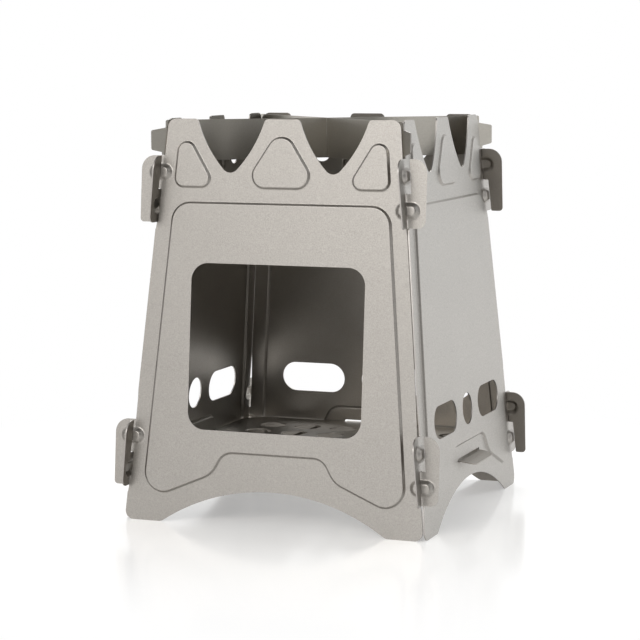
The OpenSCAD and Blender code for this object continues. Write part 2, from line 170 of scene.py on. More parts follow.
# %% Cut edge
DRAG, DRAG_DEPTH = 0.19, 0.05   # millimetres between two drag marks, and of bump at full strength
DRAG_TONE, DRAG_STRENGTH = 0.08, 0.2    # how far the marks move the colour, and how strongly the bump


def cut_edge(name, base, rough):
    """Cut edge of a sheet, with fine drag marks instead of pits."""
    material = bpy.data.materials.new(name)
    material.use_nodes = True
    tree = material.node_tree
    tree.nodes.clear()
    place = put(tree, "ShaderNodeTexCoord").outputs["Object"]
    drag = put(tree, "ShaderNodeTexNoise", {"Vector": place}, Scale=1000 / DRAG, Detail=2.0)
    tone = put(tree, "ShaderNodeMapRange", {"Value": drag.outputs["Fac"]}, From_Min=NOISE_LOW,
               From_Max=NOISE_HIGH, To_Min=1.0 - DRAG_TONE, To_Max=1.0 + DRAG_TONE)
    shade = put(tree, "ShaderNodeVectorMath", {"Scale": tone.outputs[0]}, operation="SCALE")
    shade.inputs[0].default_value = linear(base)[:3]
    marks = put(tree, "ShaderNodeBump", {"Height": drag.outputs["Fac"]}, Strength=DRAG_STRENGTH,
                Distance=DRAG_DEPTH * MM)
    surface = put(tree, "ShaderNodeBsdfPrincipled",
                  {"Base Color": shade.outputs[0], "Normal": marks.outputs[0]},
                  Metallic=1.0, Roughness=rough)
    put(tree, "ShaderNodeOutputMaterial", {"Surface": surface.outputs[0]})
    return material


# Punched rims: clean metal, as pale as the blasted faces and a little smoother to the eye
punched_edge = cut_edge("titanium_cut_edge", "A8A4A0", rough=0.42)
print("materials:", [m.name for m in bpy.data.materials])

# %% [markdown]
# ## Drawing a sheet
# All pieces are cut from flat sheet, so all of them start as an outline with rounded corners. The outline is
# a list of corners, each with a radius. One function walks round it and lays an arc into every corner. It
# can also shrink the whole outline, and because every arc keeps its number of points, the shrunk copies can
# be joined into the soft wall of a pressed form.

# %% Rounded outlines
def arc_steps(radius, turn, stray=0.012):
    """Lines that an arc is drawn with, so that none strays further than this many millimetres."""
    if radius <= 0:
        return 0
    return max(2, math.ceil(abs(turn) / 2 / math.acos(1 - min(stray / radius, 1))))


def rounded(corners, inset=0.0):
    """Points of an anticlockwise outline. corners are ((u, v), radius), inset moves it inwards."""
    points, n = [], len(corners)
    for i, ((u, v), radius) in enumerate(corners):
        (au, av), (bu, bv) = corners[i - 1][0], corners[(i + 1) % n][0]
        into = math.atan2(v - av, u - au)
        turn = (math.atan2(bv - v, bu - u) - into + math.pi) % (2 * math.pi) - math.pi
        side = 1 if turn > 0 else -1
        back = radius * math.tan(abs(turn) / 2)
        cu = u - math.cos(into) * back - side * radius * math.sin(into)
        cv = v - math.sin(into) * back + side * radius * math.cos(into)
        steps = arc_steps(radius, turn)
        for k in range(steps + 1):
            t = into + (turn * k / steps if steps else 0)
            reach = side * radius - inset
            points.append((cu + reach * math.sin(t), cv - reach * math.cos(t)))
    return points


def mirrored(corners):
    """The same corners on the other side of the middle line, still anticlockwise."""
    return [((-u, v), r) for (u, v), r in reversed(corners)]


def ring(cu, cv, radius, count=64):
    """Points of a full circle."""
    turns = [2 * math.pi * i / count for i in range(count)]
    return [(cu + radius * math.cos(t), cv + radius * math.sin(t)) for t in turns]


def rectangle(cu, cv, length, height, r):
    """Corners of a rectangle round (cu, cv)."""
    a, b = length / 2, height / 2
    return [((cu - a, cv - b), r), ((cu + a, cv - b), r), ((cu + a, cv + b), r), ((cu - a, cv + b), r)]


def slot_outline(cu, cv, length, height):
    """Slot with round ends. Their radius is a hair under half the height, so that two arcs never meet."""
    return rounded(rectangle(cu, cv, length, height, height / 2 - 0.001))


print("a 10 mm square with 2 mm corners takes", len(rounded(rectangle(0, 0, 10, 10, 2))), "points")

# %% [markdown]
# ## The panel's sizes
# These are the stove's own sizes in millimetres, the same as in the CAD source. A panel is drawn flat: u runs
# across it, v up its slope and w out of the stove. The panels lean inwards, so the corner line between two of
# them moves in as v grows, and everything near an edge is placed from that line.

# %% Panel sizes
BASE_W, CROWN_W = 127.0, 99.0   # between the corner lines, at the feet and at the crown
BODY_H, SHEET = 160.0, 0.5
GAP, FIT = 1.0, 0.1             # from an edge to its corner line, and the clearance between two pieces
FOOT_TRIM = 0.05                # sheet that is lost where a foot is trimmed level
LEAN = math.atan((BASE_W - CROWN_W) / 2 / BODY_H)
SLOPE = (BODY_H + FOOT_TRIM) / math.cos(LEAN)


def corner_u(v):
    """Corner line between two panels."""
    return BASE_W / 2 - v * math.sin(LEAN)


def edge_u(v):
    """A panel's own edge behind its ears."""
    return corner_u(v) - GAP


print("the panels lean", round(math.degrees(LEAN), 2), "degrees")

# %% [markdown]
# ## The panel's outline
# Going round anticlockwise from the right foot: the lower right ear, the upper right ear, the crown with its
# two deep notches, the two left ears, and the arch. The ears on the right hook upwards and those on the left
# hook downwards. That is how the four identical edges lock into one another without a single screw.

# %% Hook ears
EAR_H, EAR_LOW, EAR_HIGH = 26.5, 27.1, SLOPE - 27.9     # height, and the middles of the lower and upper ears
EAR_LOW_REACH, EAR_HIGH_REACH = 7.2, 7.9                # past the corner line
HOOK_GAP = 1.8                                          # from the corner line to the hook
EAR_TOP_R, EAR_HEEL_R, EAR_TOE_R, HOOK_R, NECK_R = 5.5, 3.0, 1.5, 0.6, 0.4


def right_ear(v, reach):
    """Ear that hooks upwards."""
    low, high, mid, out = v - EAR_H / 2, v + EAR_H / 2, v - FIT, corner_u(v) + reach
    return [((edge_u(low), low), NECK_R), ((out, low), EAR_HEEL_R), ((out, high), EAR_TOP_R),
            ((corner_u(high) + HOOK_GAP, high), HOOK_R), ((corner_u(mid) + HOOK_GAP, mid), NECK_R),
            ((edge_u(mid), mid), NECK_R)]


def left_ear(v, reach):
    """Ear that hooks downwards."""
    low, high, mid, out = v - EAR_H / 2, v + EAR_H / 2, v + FIT, corner_u(v) + reach
    return [((-edge_u(high), high), NECK_R), ((-out, high), EAR_TOP_R), ((-out, low), EAR_TOE_R),
            ((-corner_u(low) - HOOK_GAP, low), HOOK_R), ((-corner_u(mid) - HOOK_GAP, mid), NECK_R),
            ((-edge_u(mid), mid), NECK_R)]


print("an ear has", len(rounded(right_ear(EAR_LOW, EAR_LOW_REACH))), "points")

# %% [markdown]
# A notch of the crown opens widely just over its round bottom, and its flanks stand steeper towards the
# tips. So each flank is two lines blended by one long arc. The arch between the feet is one large arc that
# two small ones blend into the ground.

# %% Crown and arch
NOTCH_U = 21.6                  # from the panel's middle to a notch's
TIP_R = 1.8                     # corners of the crown's middle tip


def notch(centre, depth=21.1, width=28.8, bottom_r=4.0, flank_r=50.0, top_deg=19, bottom_deg=42):
    """Notch between two tips. Its flanks lean by top_deg above and by bottom_deg below."""
    top, low = math.tan(math.radians(top_deg)), math.tan(math.radians(bottom_deg))
    foot = SLOPE - depth + bottom_r - bottom_r / math.sin(math.radians(bottom_deg))
    rise = (width / 2 - (SLOPE - foot) * top) / (low - top)
    right = [((width / 2, SLOPE), TIP_R), ((rise * low, foot + rise), flank_r)]
    return [((u + centre, v), r) for (u, v), r in right + [((0, foot), bottom_r)] + mirrored(right)]


def arch(width=95.0, rise=14.7, blend=5.0, blend_steps=8, arch_steps=44):
    """Arch between the feet, from left to right. blend is the radius that meets the ground."""
    big = ((width / 2) ** 2 + rise ** 2) / 2 / rise
    centre_v = rise - big
    foot_u = math.sqrt((big + blend) ** 2 - (blend - centre_v) ** 2)
    way = math.atan2(blend - centre_v, foot_u)
    points = []

    def sweep(cu, cv, r, a, b, count):
        for i in range(count + 1):
            t = a + (b - a) * i / count
            points.append((cu + r * math.cos(t), cv + r * math.sin(t)))
    sweep(-foot_u, blend, blend, -math.pi / 2, -way, blend_steps)
    arch_end = len(points)
    sweep(0, centre_v, big, math.pi - way, way, arch_steps)
    del points[arch_end]
    points.pop()
    sweep(foot_u, blend, blend, math.pi + way, 1.5 * math.pi, blend_steps)
    return [(p, 0.0) for p in points]


print("the arch has", len(arch()), "points")

# %% [markdown]
# Between the ears two panels meet in a lapped seam: a left edge covers the cut edge of its neighbour's right
# one. The edges come together over a short run above the lower ears, where a wedge of light is left.

# %% Seams and the whole outline
SEAM_RUN, SEAM_STEP = 12.0, 3.0     # run of an edge from an ear to its seam: above a lower ear, and elsewhere
SEAM_SHADOW = 0.15                  # the front corner stands open by this more, and shows as a dark line
FOOT_R, CROWN_R = 3.5, 3.5          # outer corners of the feet and of the crown


def seam_u(v, side, shadow=0.0):
    """Edge on its seam: a left edge (side -1) laps over the next panel's right edge (side 1)."""
    return side * (corner_u(v) - FIT) - (SHEET + shadow if side > 0 else 0.0)


def foot_seam(side, shadow=0.0):
    """Edge from the foot's seam up to a lower ear."""
    v = EAR_LOW - EAR_H / 2
    return [((seam_u(v - SEAM_STEP, side, shadow), v - SEAM_STEP), 0.0), ((side * edge_u(v), v), 0.0)]


def wall_seam(side, shadow=0.0):
    """Edge between a lower and an upper ear."""
    low, high = EAR_LOW + EAR_H / 2, EAR_HIGH - EAR_H / 2
    start, end = low + SEAM_RUN, high - SEAM_STEP
    return [((side * edge_u(low), low), 0.0), ((seam_u(start, side, shadow), start), 0.0),
            ((seam_u(end, side, shadow), end), 0.0), ((side * edge_u(high), high), 0.0)]


def panel_outline(shadow):
    """Whole outline. shadow is how much wider than a snug fit the seam on the right stands open."""
    right_edge = ([((seam_u(0, 1, shadow), 0.0), FOOT_R)] + foot_seam(1, shadow)[:-1]
                  + right_ear(EAR_LOW, EAR_LOW_REACH) + wall_seam(1, shadow)[:-1]
                  + right_ear(EAR_HIGH, EAR_HIGH_REACH) + [((edge_u(SLOPE), SLOPE), CROWN_R)])
    left_edge = ([((-edge_u(SLOPE), SLOPE), CROWN_R)] + left_ear(EAR_HIGH, EAR_HIGH_REACH)
                 + wall_seam(-1)[:0:-1] + left_ear(EAR_LOW, EAR_LOW_REACH) + foot_seam(-1)[::-1]
                 + [((seam_u(0, -1), 0.0), FOOT_R)])
    return rounded(right_edge + notch(NOTCH_U) + notch(-NOTCH_U) + left_edge + arch())


print("the panel's outline has", len(panel_outline(0.0)), "points")

# %% [markdown]
# ## The pressed forms
# A press stiffens the thin sheet with one large raised field, three raised triangles in the crown and a
# dimple in the neck of every ear. The field comes first. Its sides run along the corner lines, and its foot
# line steps down from the middle and climbs again towards the corners.

# %% Raised field
FIELD_MARGIN, FIELD_TOP, FIELD_R = 6.5, SLOPE - 32.5, 8.5   # margin to the corner line
STEP_U, STEP_V, STEP_R = 20.5, 28.6, 6.0                    # where the foot line leaves its raised middle
BEND_U, BEND_V, BEND_R = 25.4, 19.7, 11.0                   # its lowest point
CLIMB_DEG = 23

climb = math.tan(math.radians(CLIMB_DEG))
foot_v = (BEND_V - climb * (corner_u(0) - FIELD_MARGIN - BEND_U)) / (1 - climb * math.sin(LEAN))
field_half = [((STEP_U, STEP_V), STEP_R), ((BEND_U, BEND_V), BEND_R),
              ((corner_u(foot_v) - FIELD_MARGIN, foot_v), FIELD_R),
              ((corner_u(FIELD_TOP) - FIELD_MARGIN, FIELD_TOP), FIELD_R)]
field = field_half + mirrored(field_half)
print("the field's lower corners lie at v =", round(foot_v, 1))

# %% [markdown]
# The triangles are the tangent lines round three circles, which is how a toolmaker would draw them. Radii
# and margins then stay what they are in the drawing, and the sharp corners between the lines are worked out.

# %% Triangles
def triangle(a, b, c):
    """Corners of a triangle round three circles ((u, v), radius), given anticlockwise."""
    def side(p, q):
        (pu, pv), pr = p
        (qu, qv), qr = q
        length = math.hypot(qu - pu, qv - pv)
        t = math.atan2(qv - pv, qu - pu) - math.asin((qr - pr) / length)
        return (pu + pr * math.sin(t), pv - pr * math.cos(t)), (math.cos(t), math.sin(t))

    def meet(s, t):
        (p, d), (q, e) = s, t
        k = d[0] * e[1] - d[1] * e[0]
        step = ((q[0] - p[0]) * e[1] - (q[1] - p[1]) * e[0]) / k
        return p[0] + d[0] * step, p[1] + d[1] * step
    ab, bc, ca = side(a, b), side(b, c), side(c, a)
    return [(meet(ca, ab), a[1]), (meet(ab, bc), b[1]), (meet(bc, ca), c[1])]


TRIANGLE_FOOT = SLOPE - 27.6                                # foot line of all three
MID_U, MID_R, MID_TIP_V, MID_TIP_R = 6.75, 5.7, SLOPE - 13.0, 6.5
SIDE_U, SIDE_R, SIDE_TOP, SIDE_TIP_R, SIDE_MARGIN = 33.6, 4.2, SLOPE - 8.6, 4.4, 6.0

mid_v = TRIANGLE_FOOT + MID_R
mid_triangle = triangle(((-MID_U, mid_v), MID_R), ((MID_U, mid_v), MID_R), ((0, MID_TIP_V), MID_TIP_R))
tip_v, low_v = SIDE_TOP - SIDE_TIP_R, TRIANGLE_FOOT + SIDE_R
side_triangle = triangle(((SIDE_U, low_v), SIDE_R), ((corner_u(low_v) - SIDE_MARGIN - SIDE_R, low_v), SIDE_R),
                         ((corner_u(tip_v) - SIDE_MARGIN - SIDE_TIP_R, tip_v), SIDE_TIP_R))
print("the middle triangle's corners:", [[round(a, 1) for a in corner] for corner, r in mid_triangle])

# %% [markdown]
# A dimple sits in the neck of every ear, where it locks the neighbour's hook. Each form is a stack of rings:
# its outline is shrunk step by step while the height follows a cosine. A straight slope would show two hard
# creases, and the real sheet shows none, because a press stretches it round soft corners.

# %% Dimples and soft walls
DIMPLE_W, DIMPLE_V, DIMPLE_H, DIMPLE_R = 10.2, 7.2, 1.6, 3.45
PRESS_H = 1.0
WALL_START, WALL_END = 0.1, 1.2         # insets of a wall's foot and top
DIMPLE_END = 2.1                        # inset where a dimple is at its full height
WALL_EASE = 0.12                        # flat ring before and after a wall, as a part of its run

dimple = rectangle(0.0, 0.0, DIMPLE_W, DIMPLE_V, DIMPLE_R)
necks = [(s, v - s * EAR_H / 4) for s in (1, -1) for v in (EAR_LOW, EAR_HIGH)]


def soft_wall(height, start, end, steps=12):
    """Rings of a pressed wall as (inset, height). It leaves and reaches the flat sheet without a crease."""
    flat = (end - start) * WALL_EASE
    rings = [(start - flat, 0.0)]
    rings += [(start + (end - start) * k / steps, height * (1 - math.cos(math.pi * k / steps)) / 2)
              for k in range(steps + 1)]
    return rings + [(end + flat, height)]


raised = (field, mid_triangle, side_triangle, mirrored(side_triangle))
forms = [(corners, soft_wall(PRESS_H, WALL_START, WALL_END)) for corners in raised]
for s, v in necks:
    moved = [((u + s * corner_u(v), up + v), r) for (u, up), r in dimple]
    forms.append((moved, soft_wall(DIMPLE_H, 0.0, DIMPLE_END)))
print(len(forms), "pressed forms, a wall has", len(forms[0][1]), "rings")

# %% [markdown]
# ## From outline to pressed sheet
# The flat parts between the outlines are filled with triangles that respect every outline and every ring.
# The rings of a form are joined into a smooth wall. A fill knows nothing of holes, so each triangle is kept
# or dropped by where its middle lies.

# %% Points inside an outline
def inside(points, loop):
    """Which of the points lie inside a loop, by counting crossings."""
    loop = np.array(loop)
    x, y = points[:, 0][:, None], points[:, 1][:, None]
    x0, y0 = loop[:, 0], loop[:, 1]
    x1, y1 = np.roll(x0, -1), np.roll(y0, -1)
    spans = (y0 > y) != (y1 > y)
    dy = np.where(y1 == y0, 1.0, y1 - y0)
    return (np.sum(spans & (x < (x1 - x0) * (y - y0) / dy + x0), axis=1) % 2) == 1


print("the field's middle lies inside it:", bool(inside(np.array([[0.0, BODY_H / 2]]), rounded(field))[0]))

# %% One skin of a sheet
MEET = 1e-7                     # millimetres within which two points of the fill count as one


def skin(outline, holes, pressed):
    """One skin of the sheet: points (u, v, w) and faces, with every flat part filled."""
    points, faces = [], []

    def add_loop(loop, w):
        first = len(points)
        points.extend((u, v, w) for u, v in loop)
        return list(range(first, first + len(loop)))
    border = [add_loop(outline, 0.0)]
    roofs = []
    for corners, rings in pressed:
        ids = [add_loop(rounded(corners, inset), w) for inset, w in rings]
        for low, high in zip(ids, ids[1:]):
            n = len(low)
            faces.extend((low[i], low[(i + 1) % n], high[(i + 1) % n], high[i]) for i in range(n))
        roofs.append((ids[0], ids[-1]))
    for loop in holes:
        middle = np.mean(np.array(loop), axis=0)[None, :]
        under = [rings[-1][1] for corners, rings in pressed if inside(middle, rounded(corners))[0]]
        border.append(add_loop(loop, max(under, default=0.0)))
    constraints = border + [loop for pair in roofs for loop in pair]
    used = sorted({i for loop in constraints for i in loop})
    back = {i: k for k, i in enumerate(used)}
    edges = [(back[a], back[b]) for loop in constraints for a, b in zip(loop, loop[1:] + loop[:1])]
    made = delaunay_2d_cdt([Vector(points[i][:2]) for i in used], edges, [], 0, MEET)
    to_point = [used[ids[0]] for ids in made[3]]
    flat = np.array([points[i][:2] for i in to_point])
    tris = np.array(made[2])
    mid = flat[tris].mean(axis=1)
    keep = inside(mid, [points[i][:2] for i in border[0]])
    for loop in border[1:]:
        keep &= ~inside(mid, [points[i][:2] for i in loop])
    for low, high in roofs:
        keep &= ~(inside(mid, [points[i][:2] for i in low]) & ~inside(mid, [points[i][:2] for i in high]))
    faces.extend(tuple(to_point[i] for i in tri) for tri in tris[keep])
    return np.array(points), faces, border


print("an octagon without forms is filled with", len(skin(ring(0, 0, 10, 8), [], [])[1]), "triangles")

# %% [markdown]
# Then the whole skin is copied half a millimetre inwards along its own normals, and the two skins are closed
# at the cut edges. A displacement texture could fake the forms, but real geometry also shows their hollows on
# the inner side, which the photograph shows through the window.

# %% Two skins closed at the cut edges
CREASE = math.radians(45)       # edges that turn by more are drawn sharp


def sheet_mesh(name, outline, holes, pressed, thickness, lay):
    """A closed sheet. lay turns (u, v, w) into metres. Faces get slot 0 outside, 1 inside, 2 on the edges."""
    points, faces, border = skin(outline, holes, pressed)
    mesh = bpy.data.meshes.new(name)
    bm = bmesh.new()
    outer = [bm.verts.new(p) for p in points]
    for f in faces:
        if len(set(f)) > 2:
            bm.faces.new([outer[i] for i in f])
    bmesh.ops.recalc_face_normals(bm, faces=bm.faces[:])
    bm.normal_update()
    if bm.faces[0].normal.z < 0:
        bmesh.ops.reverse_faces(bm, faces=bm.faces[:])
        bm.normal_update()
    lowered = [v.co - v.normal * thickness for v in outer]
    tops = [f for f in bm.faces]
    inner = [bm.verts.new(p) for p in lowered]
    index = {v: i for i, v in enumerate(outer)}
    for f in tops:
        f.smooth = True
        under = bm.faces.new([inner[index[v]] for v in reversed(f.verts[:])])
        under.material_index, under.smooth = 1, True
    for loop in border:
        for a, b in zip(loop, loop[1:] + loop[:1]):
            rim = bm.faces.new((outer[a], outer[b], inner[b], inner[a]))
            rim.material_index, rim.smooth = 2, True
    bmesh.ops.recalc_face_normals(bm, faces=bm.faces[:])
    for v in bm.verts:
        v.co = lay(*v.co)
    bm.to_mesh(mesh)
    bm.free()
    mesh.set_sharp_from_angle(angle=CREASE)
    return mesh


print("sheet builder ready")

# %% [markdown]
# ## The four panels
# One drawing makes all four. Each drawing is tipped back by the lean and turned to its side. The foot is
# trimmed level, because a leaning sheet would otherwise stand on a knife edge.

# %% Stand a panel up
def stand(side):
    """Lay function of a panel: 0 front, 1 right, 2 back, 3 left."""
    def lay(u, v, w):
        y = -BASE_W / 2 + v * math.sin(LEAN) - w * math.cos(LEAN)
        z = -FOOT_TRIM + v * math.cos(LEAN) + w * math.sin(LEAN)
        x = u
        for _ in range(side):
            x, y = -y, x
        return Vector((x, y, max(z, 0.0))) * MM
    return lay


print("the right panel's tip stands at", [round(a, 4) for a in stand(1)(0.0, SLOPE, 0.0)])

# %% [markdown]
# A piece hides the CAD node that it stands for and carries the finishes it has there. It rides on a body
# by name, so that the joints can move it.

# %% Add a piece
def add_piece(name, mesh, materials, node):
    """Object for a mesh, with its materials, that stands for a CAD node."""
    piece = bpy.data.objects.new(name, mesh)
    bpy.context.scene.collection.objects.link(piece)
    for material in materials:
        mesh.materials.append(material)
    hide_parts(node)
    return piece


# %% [markdown]
# The front has the fuel window. The other three have air vents low in the field and a slit for the grate's
# tongue. The vents are two long slots with a round hole between them.

# %% Cut and press the panels
SLIT_V, SLIT_H, SLIT_L = 22.3, 1.5, 29.5
WINDOW_W, WINDOW_H, WINDOW_LOW, WINDOW_R = 73.0, 66.0, 37.8, 7.0
VENT_D, VENT_L, VENT_V, VENT_GAP = 13.0, 29.4, 42.2, 8.1

window = rounded(rectangle(0.0, WINDOW_LOW + WINDOW_H / 2, WINDOW_W, WINDOW_H, WINDOW_R))
long_u = VENT_D / 2 + VENT_GAP + VENT_L / 2
air_holes = [ring(0.0, VENT_V, VENT_D / 2)]
air_holes += [slot_outline(s * long_u, VENT_V, VENT_L, VENT_D) for s in (-1, 1)]
air_holes.append(slot_outline(0.0, SLIT_V + SLIT_H / 2, SLIT_L, SLIT_H))
panel_names = ["front_panel", "right_panel", "back_panel", "left_panel"]
for side, node in enumerate(panel_names):
    holes = [window] if side == 0 else air_holes
    outline = panel_outline(SEAM_SHADOW if side == 0 else 0.0)
    mesh = sheet_mesh(node + "_sheet", outline, holes, forms, SHEET, stand(side))
    piece = add_piece(node + "_sheet", mesh, [outer_face, shaded_inner_face, punched_edge], node)
    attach(piece, "body")
    print(piece.name, len(mesh.polygons), "faces")

# %% [markdown]
# ## The fire grate
# The grate is a plate with 36 round holes in rows. A repeat like this is what Geometry Nodes are good at: a
# grid of points carries one circle each, the circles and the plate's outline are filled together, which
# leaves the holes open, and the filled shape is given its thickness. The pitch and the hole's size stay
# inputs, so another grate needs only other numbers.

# %% Hole pattern with Geometry Nodes
GRATE_PITCH, GRATE_HOLE, GRATE_ROWS = 16.6, 11.6, 6
HOLE_LINES, WELD = 56, 1e-6     # lines that a hole is drawn with, and metres within which points are merged


def grate_nodes():
    """Tree that fills an outline of edges into a plate with rows of round holes."""
    tree = bpy.data.node_groups.new("hole_pattern_plate", "GeometryNodeTree")
    tree.interface.new_socket("Outline", in_out="INPUT", socket_type="NodeSocketGeometry")
    for name, size in {"Pitch": GRATE_PITCH, "Hole Radius": GRATE_HOLE / 2, "Thickness": SHEET}.items():
        entry = tree.interface.new_socket(name, in_out="INPUT", socket_type="NodeSocketFloat")
        entry.default_value = size * MM
    rows = tree.interface.new_socket("Rows", in_out="INPUT", socket_type="NodeSocketInt")
    rows.default_value = GRATE_ROWS
    tree.interface.new_socket("Plate", in_out="OUTPUT", socket_type="NodeSocketGeometry")
    given = put(tree, "NodeGroupInput").outputs
    span = put(tree, "ShaderNodeMath", {0: given["Rows"]}, operation="SUBTRACT")
    span.inputs[1].default_value = 1.0
    width = put(tree, "ShaderNodeMath", {0: span.outputs[0], 1: given["Pitch"]}, operation="MULTIPLY")
    grid = put(tree, "GeometryNodeMeshGrid", {"Size X": width.outputs[0], "Size Y": width.outputs[0],
                                              "Vertices X": given["Rows"], "Vertices Y": given["Rows"]})
    circle = put(tree, "GeometryNodeCurvePrimitiveCircle", {"Radius": given["Hole Radius"]},
                 Resolution=HOLE_LINES)
    holes = put(tree, "GeometryNodeInstanceOnPoints",
                {"Points": grid.outputs[0], "Instance": circle.outputs[0]})
    loose = put(tree, "GeometryNodeRealizeInstances", {"Geometry": holes.outputs[0]})
    border = put(tree, "GeometryNodeMeshToCurve", {"Mesh": given["Outline"]})
    curves = put(tree, "GeometryNodeJoinGeometry")
    tree.links.new(loose.outputs[0], curves.inputs[0])
    tree.links.new(border.outputs[0], curves.inputs[0])
    filled = put(tree, "GeometryNodeFillCurve", {"Curve": curves.outputs[0]})
    thick = put(tree, "GeometryNodeExtrudeMesh",
                {"Mesh": filled.outputs[0], "Offset Scale": given["Thickness"]}, Individual=False)
    under = put(tree, "GeometryNodeFlipFaces", {"Mesh": filled.outputs[0]})
    closed = put(tree, "GeometryNodeJoinGeometry")
    tree.links.new(under.outputs[0], closed.inputs[0])
    tree.links.new(thick.outputs[0], closed.inputs[0])
    welded = put(tree, "GeometryNodeMergeByDistance", {"Geometry": closed.outputs[0]}, Distance=WELD)
    coated = put(tree, "GeometryNodeSetMaterial", {"Geometry": welded.outputs[0]}, Material=shaded_grate_face)
    put(tree, "NodeGroupOutput", {"Plate": coated.outputs[0]})
    return tree


tree = grate_nodes()
print("grate tree has", len(tree.nodes), "nodes")

# %% [markdown]
# The plate's outline is a square with cut corners and a tongue on three sides, each as far out as its panel's
# wall and a little more. The front panel has no slit, so the plate has no tongue there.

# %% Grate outline
GRATE_GAP, CORNER_CUT = 0.4, 8.0        # between the plate and the panels' inner faces, and off its corners
TONGUE_W, TONGUE_OUT = 28.0, 6.0        # a tongue's width, and its reach past the outer face
TONGUE_HEEL_R, TONGUE_TOE_R = 6.0, 1.0

grate_z = -FOOT_TRIM + SLIT_V * math.cos(LEAN) + FIT


def wall_at(z):
    """Distance of the panels' outer faces from the middle at a height."""
    return BASE_W / 2 - (z + FOOT_TRIM) * math.tan(LEAN)


grate_half = wall_at(grate_z + SHEET) - SHEET / math.cos(LEAN) - GRATE_GAP


def grate_outline():
    """Square with cut corners and a tongue on three sides. Each quarter is the first one turned."""
    a, b, t = grate_half, grate_half - CORNER_CUT, TONGUE_W / 2
    tip = wall_at(grate_z) + TONGUE_OUT
    with_tongue = [((a, -b), 0), ((a, -t), 0), ((tip, -t), TONGUE_HEEL_R), ((tip, t), TONGUE_TOE_R),
                   ((a, t), 0), ((a, b), 0)]
    corners = []
    for quarter in range(4):
        part = with_tongue if quarter < 3 else [((a, -b), 0), ((a, b), 0)]
        for (u, v), r in part:
            for _ in range(quarter):
                u, v = -v, u
            corners.append(((u, v), r))
    return rounded(corners)


print("the plate is", round(2 * grate_half, 1), "mm wide, its outline has", len(grate_outline()), "points")

# %% [markdown]
# An object that holds nothing but the outline's edges carries the tree as a modifier. The evaluated result is
# kept as a plain mesh and the holder is removed, so that no modifier is left on the piece.

# %% Run the nodes
def run_nodes(name, outline, tree):
    """Runs the tree on an outline of edges and returns a plain mesh."""
    edges = bpy.data.meshes.new(name + "_outline")
    n = len(outline)
    edges.from_pydata([(u * MM, v * MM, 0.0) for u, v in outline], [(i, (i + 1) % n) for i in range(n)], [])
    holder = bpy.data.objects.new(name, edges)
    bpy.context.scene.collection.objects.link(holder)
    holder.modifiers.new("pattern", "NODES").node_group = tree
    bpy.context.view_layer.update()
    deps = bpy.context.evaluated_depsgraph_get()
    mesh = bpy.data.meshes.new_from_object(holder.evaluated_get(deps), depsgraph=deps)
    bpy.data.objects.remove(holder)
    mesh.name = name
    return mesh


grate_mesh = run_nodes("fire_grate_plate", grate_outline(), tree)
print("the flat plate has", len(grate_mesh.polygons), "faces")

# %% [markdown]
# A tongue passes through the slit of its panel and curls down a little outside, so that the panel can't slip
# off. Each tongue is cut into strips, and a strip sinks with the square of its distance from the wall. The
# tip then lies where a straight bend of 15 degrees would put it.

# %% Bent tongues
TONGUE_DEG, CURL_CUTS = 15.0, 8
HAIR = 1e-4                             # millimetres that rounding may move a vertex
RIM_TILT = 0.5                          # a face whose normal rises less than this is a cut edge
GRATE_CREASE = math.radians(35)

bend_at = wall_at(grate_z) + FIT


def bend_tongues(mesh):
    """Cuts the tongues into strips, curls them down and lifts the plate to its height."""
    bm = bmesh.new()
    bm.from_mesh(mesh)
    slope = math.tan(math.radians(TONGUE_DEG))
    length = wall_at(grate_z) + TONGUE_OUT - bend_at
    for axis, sign in ((0, 1), (1, 1), (0, -1)):
        normal = Vector((0, 0, 0))
        normal[axis] = sign
        for k in range(CURL_CUTS):
            spot = normal * (bend_at + length * k / CURL_CUTS) * MM
            bmesh.ops.bisect_plane(bm, geom=bm.verts[:] + bm.edges[:] + bm.faces[:], plane_co=spot,
                                   plane_no=normal)
        for v in bm.verts:
            beyond = v.co[axis] * sign / MM - bend_at
            if beyond > HAIR:
                v.co.z -= beyond ** 2 / length * slope * MM
    for v in bm.verts:
        v.co.z += grate_z * MM
    bmesh.ops.recalc_face_normals(bm, faces=bm.faces[:])
    for f in bm.faces:
        f.material_index = 1 if abs(f.normal.z) < RIM_TILT else 0
        f.smooth = True
    bm.to_mesh(mesh)
    bm.free()
    mesh.set_sharp_from_angle(angle=GRATE_CREASE)


bend_tongues(grate_mesh)
grate_mesh.materials.clear()
grate = add_piece("fire_grate_plate", grate_mesh, [shaded_grate_face, punched_edge], "fire_grate")
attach(grate, "body")
print("grate:", len(grate_mesh.polygons), "faces, top at z =", round(grate_z + SHEET, 2), "mm")

# %% [markdown]
# ## The pot supports
# Two plates cross on the diagonals. Each hangs by its end tabs on the upper ears, and a slot half as deep as
# the plate lets them cross. Only the slot differs: it opens upwards in the one and downwards in the other.

# %% Pot support outline
CROSS_SINK, CROSS_H, CROSS_GAP = 0.6, 16.3, 1.0     # below the crown's tips, height, play in the corners
LAP_PLAY, LAP_GAP, LAP_R = 0.3, 0.15, 0.35          # slot: wider than the sheet, deeper than half, corners
TAB_RISE, TAB_H, TAB_REACH, TAB_SLANT = 1.1, 9.7, 5.6, 1.0
SEAT_GAP, EAR_PLAY = 0.15, 0.4                      # above an upper ear, and beside it
CROSS_FOOT_R, NICK_R, TAB_R = 2.0, 0.2, 0.8

CROSS_TOP = BODY_H - CROSS_SINK
CROSS_BOTTOM = CROSS_TOP - CROSS_H
LAP_Z, LAP_W = (CROSS_TOP + CROSS_BOTTOM) / 2, SHEET + LAP_PLAY
SEAT_Z = (EAR_HIGH + EAR_H / 2) * math.cos(LEAN) - FOOT_TRIM + SEAT_GAP


def on_diagonal(z):
    """Distance of the corner from the middle at a height."""
    return wall_at(z) * math.sqrt(2)


